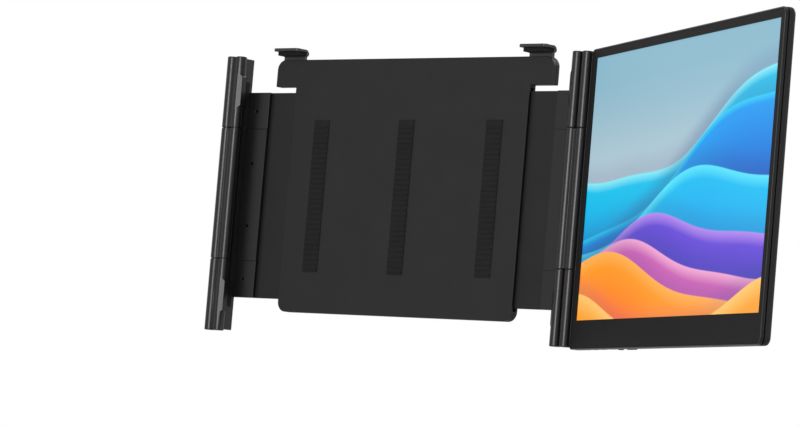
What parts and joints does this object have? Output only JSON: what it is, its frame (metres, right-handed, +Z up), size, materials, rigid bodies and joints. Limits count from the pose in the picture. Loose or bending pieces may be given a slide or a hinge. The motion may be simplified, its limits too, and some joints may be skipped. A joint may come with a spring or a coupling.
{
  "type": "laptop screen extender",
  "caption": "Clip-on frame for a laptop lid with sliding grip arms, hooks over the top edge and a side display on a double hinge that folds across or out.",
  "frame": {"origin": "middle of the centre rest pad's face, where the laptop lid's back lies; halfway up the hinge columns", "axes": "+X to the user's right along the lid, +Y away from the user behind the lid, +Z up along the lid"},
  "size_m": [0.6959, 0.2052, 0.2282],
  "materials": {
    "black_metal": "satin black anodised",
    "frame_plastic": "fine-textured moulded black",
    "cover_plastic": "fine-textured moulded black",
    "bezel_plastic": "satin moulded black",
    "display_glass": "lit display behind an anti-glare face",
    "light_guide": "milky sheet stack",
    "support_steel": "bright stamped steel",
    "pin_steel": "ground steel",
    "black_screws": "black oxide",
    "sleeve_bronze": "sintered bronze",
    "pad_rubber": "matt silicone rubber",
    "glide_plastic": "slippery natural plastic",
    "board_green": "solder mask on glass fibre"
  },
  "bodies": {
    "centre_frame": {"frame_front_shell": "frame_plastic", "frame_rear_shell": "frame_plastic", "frame_screws": "black_screws", "guide_posts": "pin_steel", "front_glide_strips": "glide_plastic", "rear_glide_strips": "glide_plastic", "lid_rest_pads": "pad_rubber", "kickstand_pin": "pin_steel"},
    "right_arm": {"right_arm_plate": "black_metal", "right_arm_screws": "black_screws", "right_column_upper": "black_metal", "right_column_lower": "black_metal", "right_column_spine": "black_metal", "right_edge_pad": "pad_rubber", "right_hook_pads": "pad_rubber", "inner_sleeve_upper": "sleeve_bronze", "inner_sleeve_lower": "sleeve_bronze"},
    "left_arm": {"left_arm_plate": "black_metal", "left_arm_screws": "black_screws", "left_column_upper": "black_metal", "left_column_middle": "black_metal", "left_column_lower": "black_metal", "left_column_spine": "black_metal", "left_edge_pad": "pad_rubber", "left_hook_pads": "pad_rubber", "left_tie_rod": "pin_steel"},
    "link": {"hinge_link": "black_metal", "inner_pin_upper": "pin_steel", "inner_pin_lower": "pin_steel", "outer_pin_upper": "pin_steel", "outer_pin_lower": "pin_steel", "link_washers": "sleeve_bronze"},
    "screen": {"screen_rim": "cover_plastic", "front_bezel": "bezel_plastic", "display_panel": "display_glass", "backlight": "light_guide", "panel_support_plate": "support_steel", "screen_barrel_upper": "black_metal", "screen_barrel_lower": "black_metal", "outer_sleeve_upper": "sleeve_bronze", "outer_sleeve_lower": "sleeve_bronze", "hinge_tab_screws": "black_screws", "screen_rear_cover": "cover_plastic", "rear_cover_screws": "black_screws", "controller_board": "board_green", "usb_port_near": "support_steel", "usb_port_far": "support_steel", "video_port": "support_steel", "tact_switches": "support_steel", "panel_flex_cable": "board_green"},
    "right_clip": {"right_top_clip": "black_metal", "right_clip_pad": "pad_rubber"},
    "left_clip": {"left_top_clip": "black_metal", "left_clip_pad": "pad_rubber"},
    "stand": {"kickstand": "black_metal", "kickstand_foot": "pad_rubber"},
    "power_key": {"power_button": "cover_plastic"},
    "menu_key": {"menu_rocker": "cover_plastic"}
  },
  "joints": [
    {"name": "link_swing", "type": "hinge", "parent": "right_arm", "child": "link", "pos_m": [0.1756, -0.009, 0], "axis": [0, 0, -1], "range_deg": [0, 90]},
    {"name": "screen_swing", "type": "hinge", "parent": "link", "child": "screen", "pos_m": [0.185, -0.009, 0], "axis": [0, 0, -1], "range_deg": [-85, 60]},
    {"name": "right_arm_slide", "type": "slide", "parent": "centre_frame", "child": "right_arm", "axis": [1, 0, 0], "range_m": [-0.025, 0.02]},
    {"name": "left_arm_slide", "type": "slide", "parent": "centre_frame", "child": "left_arm", "axis": [-1, 0, 0], "range_m": [-0.025, 0.02]},
    {"name": "right_clip_slide", "type": "slide", "parent": "centre_frame", "child": "right_clip", "axis": [0, 0, 1], "range_m": [0, 0.01]},
    {"name": "left_clip_slide", "type": "slide", "parent": "centre_frame", "child": "left_clip", "axis": [0, 0, 1], "range_m": [0, 0.01]},
    {"name": "kickstand_swing", "type": "hinge", "parent": "centre_frame", "child": "stand", "pos_m": [0, 0.011, 0.022], "axis": [1, 0, 0], "range_deg": [0, 55]},
    {"name": "power_button_press", "type": "slide", "parent": "screen", "child": "power_key", "axis": [0, 0, 1], "range_m": [0, 0.0005], "stiffness_N_per_m": 150, "springref_m": -0.0005},
    {"name": "menu_rocker_tilt", "type": "hinge", "parent": "screen", "child": "menu_key", "pos_m": [0.29396, -0.06428, -0.1093], "axis": [0.5, 0.866, 0], "range_deg": [-2.5, 2.5], "stiffness_Nm_per_rad": 0.02}
  ]
}
